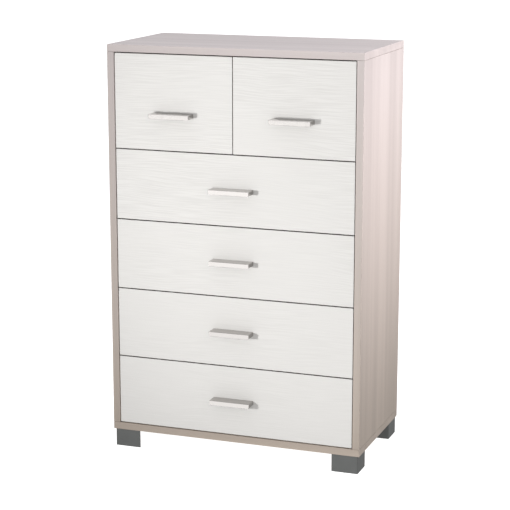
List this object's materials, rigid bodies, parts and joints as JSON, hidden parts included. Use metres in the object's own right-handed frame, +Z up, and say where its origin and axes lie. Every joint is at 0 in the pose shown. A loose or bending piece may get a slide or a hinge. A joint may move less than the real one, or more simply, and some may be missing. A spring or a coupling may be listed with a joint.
{
  "type": "tall chest of drawers",
  "caption": "Tall chest of drawers on short grey feet: small drawers side by side over wide ones, white woodgrain fronts with short chrome pulls, pale carcass. Every drawer slides out.",
  "frame": {"origin": "on the floor under the middle of the overall box, handles included", "axes": "-Y is the front with the drawers, +X is to the right seen from the front, +Z is up"},
  "size_m": [0.8, 0.463, 1.255],
  "materials": {
    "case_board": "pale foil over particle board, faint grain, satin",
    "divider_board": "foil over particle board, brown edge, satin",
    "front_board": "off-white foil embossed with a wavy woodgrain, satin",
    "drawer_box_board": "white foil over particle board, matt",
    "hardboard": "thin fibreboard, painted white on the face, matt",
    "runner_wood": "plain hardwood strip, waxed",
    "dowel_wood": "beech, fluted, unfinished",
    "foot_paint": "grey satin paint on folded steel sheet",
    "handle_chrome": "satin chrome plate",
    "zinc_steel": "bright zinc plate",
    "cam_zinc": "die-cast zinc alloy",
    "bracket_steel": "zinc-plated sheet, matt"
  },
  "bodies": {
    "carcass": {"top_panel": "case_board", "bottom_panel": "case_board", "left_side_panel": "case_board", "right_side_panel": "case_board", "drawer_shelf": "case_board", "centre_divider": "divider_board", "back_panel": "hardboard", "runner_strips": "runner_wood", "wood_screws": "zinc_steel", "carcass_dowels": "dowel_wood", "cam_bolts": "zinc_steel", "cam_locks": "cam_zinc", "wall_brackets": "bracket_steel", "foot_screws": "zinc_steel", "front_left_foot": "foot_paint", "rear_left_foot": "foot_paint", "front_right_foot": "foot_paint", "rear_right_foot": "foot_paint"},
    "bottom_drawer": {"bottom_drawer_front": "front_board", "bottom_drawer_left_side": "drawer_box_board", "bottom_drawer_right_side": "drawer_box_board", "bottom_drawer_back": "drawer_box_board", "bottom_drawer_bottom": "hardboard", "bottom_drawer_handle": "handle_chrome", "bottom_drawer_handle_screws": "zinc_steel"},
    "fourth_drawer": {"fourth_drawer_front": "front_board", "fourth_drawer_left_side": "drawer_box_board", "fourth_drawer_right_side": "drawer_box_board", "fourth_drawer_back": "drawer_box_board", "fourth_drawer_bottom": "hardboard", "fourth_drawer_handle": "handle_chrome", "fourth_drawer_handle_screws": "zinc_steel"},
    "third_drawer": {"third_drawer_front": "front_board", "third_drawer_left_side": "drawer_box_board", "third_drawer_right_side": "drawer_box_board", "third_drawer_back": "drawer_box_board", "third_drawer_bottom": "hardboard", "third_drawer_handle": "handle_chrome", "third_drawer_handle_screws": "zinc_steel"},
    "second_drawer": {"second_drawer_front": "front_board", "second_drawer_left_side": "drawer_box_board", "second_drawer_right_side": "drawer_box_board", "second_drawer_back": "drawer_box_board", "second_drawer_bottom": "hardboard", "second_drawer_handle": "handle_chrome", "second_drawer_handle_screws": "zinc_steel"},
    "top_left_drawer": {"top_left_drawer_front": "front_board", "top_left_drawer_left_side": "drawer_box_board", "top_left_drawer_right_side": "drawer_box_board", "top_left_drawer_back": "drawer_box_board", "top_left_drawer_bottom": "hardboard", "top_left_drawer_handle": "handle_chrome", "top_left_drawer_handle_screws": "zinc_steel"},
    "top_right_drawer": {"top_right_drawer_front": "front_board", "top_right_drawer_left_side": "drawer_box_board", "top_right_drawer_right_side": "drawer_box_board", "top_right_drawer_back": "drawer_box_board", "top_right_drawer_bottom": "hardboard", "top_right_drawer_handle": "handle_chrome", "top_right_drawer_handle_screws": "zinc_steel"}
  },
  "joints": [
    {"name": "bottom_drawer_slide", "type": "slide", "parent": "carcass", "child": "bottom_drawer", "axis": [0, -1, 0], "range_m": [0, 0.27]},
    {"name": "fourth_drawer_slide", "type": "slide", "parent": "carcass", "child": "fourth_drawer", "axis": [0, -1, 0], "range_m": [0, 0.27]},
    {"name": "third_drawer_slide", "type": "slide", "parent": "carcass", "child": "third_drawer", "axis": [0, -1, 0], "range_m": [0, 0.27]},
    {"name": "second_drawer_slide", "type": "slide", "parent": "carcass", "child": "second_drawer", "axis": [0, -1, 0], "range_m": [0, 0.27]},
    {"name": "top_left_drawer_slide", "type": "slide", "parent": "carcass", "child": "top_left_drawer", "axis": [0, -1, 0], "range_m": [0, 0.27]},
    {"name": "top_right_drawer_slide", "type": "slide", "parent": "carcass", "child": "top_right_drawer", "axis": [0, -1, 0], "range_m": [0, 0.27]}
  ]
}
